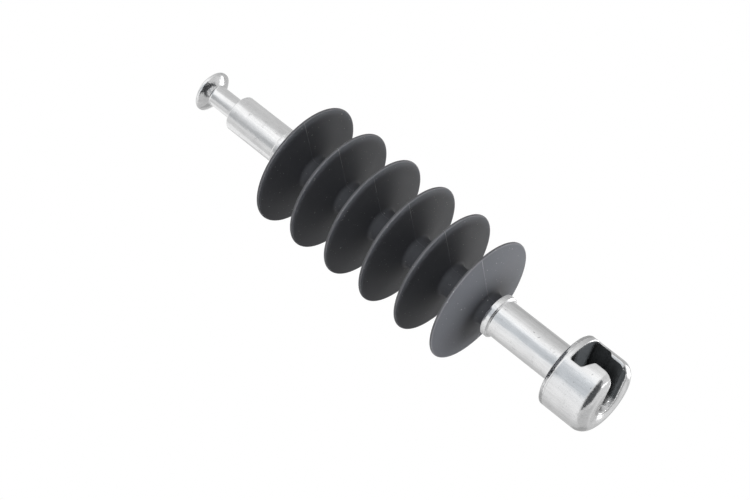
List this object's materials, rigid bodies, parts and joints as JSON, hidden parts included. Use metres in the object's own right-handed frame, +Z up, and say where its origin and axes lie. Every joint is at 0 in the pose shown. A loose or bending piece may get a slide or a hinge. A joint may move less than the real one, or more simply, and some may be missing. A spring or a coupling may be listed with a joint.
{
  "type": "composite suspension insulator",
  "caption": "Polymer line insulator with equal weather sheds on a rubber housing, a socket fitting at the top and a ball fitting at the bottom.",
  "frame": {"origin": "centre of the seat in the socket, in the plane the coupling length is measured from", "axes": "+Z up along the axis, from the ball to the socket, as it hangs; the socket opens towards -Y and its locking pin hole is on the +Y side"},
  "size_m": [0.1, 0.1, 0.4063],
  "materials": {
    "fibreglass": "pultruded glass fibre rod, hidden inside the housing",
    "silicone_rubber": "smooth dark grey silicone rubber, slightly dusty, with a fine mould line",
    "galvanised_steel": "hot-dip galvanised forging, bright and slightly uneven",
    "sealant": "black sealant bead"
  },
  "bodies": {
    "root": {"core_rod": "fibreglass", "housing": "silicone_rubber", "ball_fitting": "galvanised_steel", "socket_fitting": "galvanised_steel", "ball_end_seal": "sealant", "socket_end_seal": "sealant"}
  },
  "joints": []
}
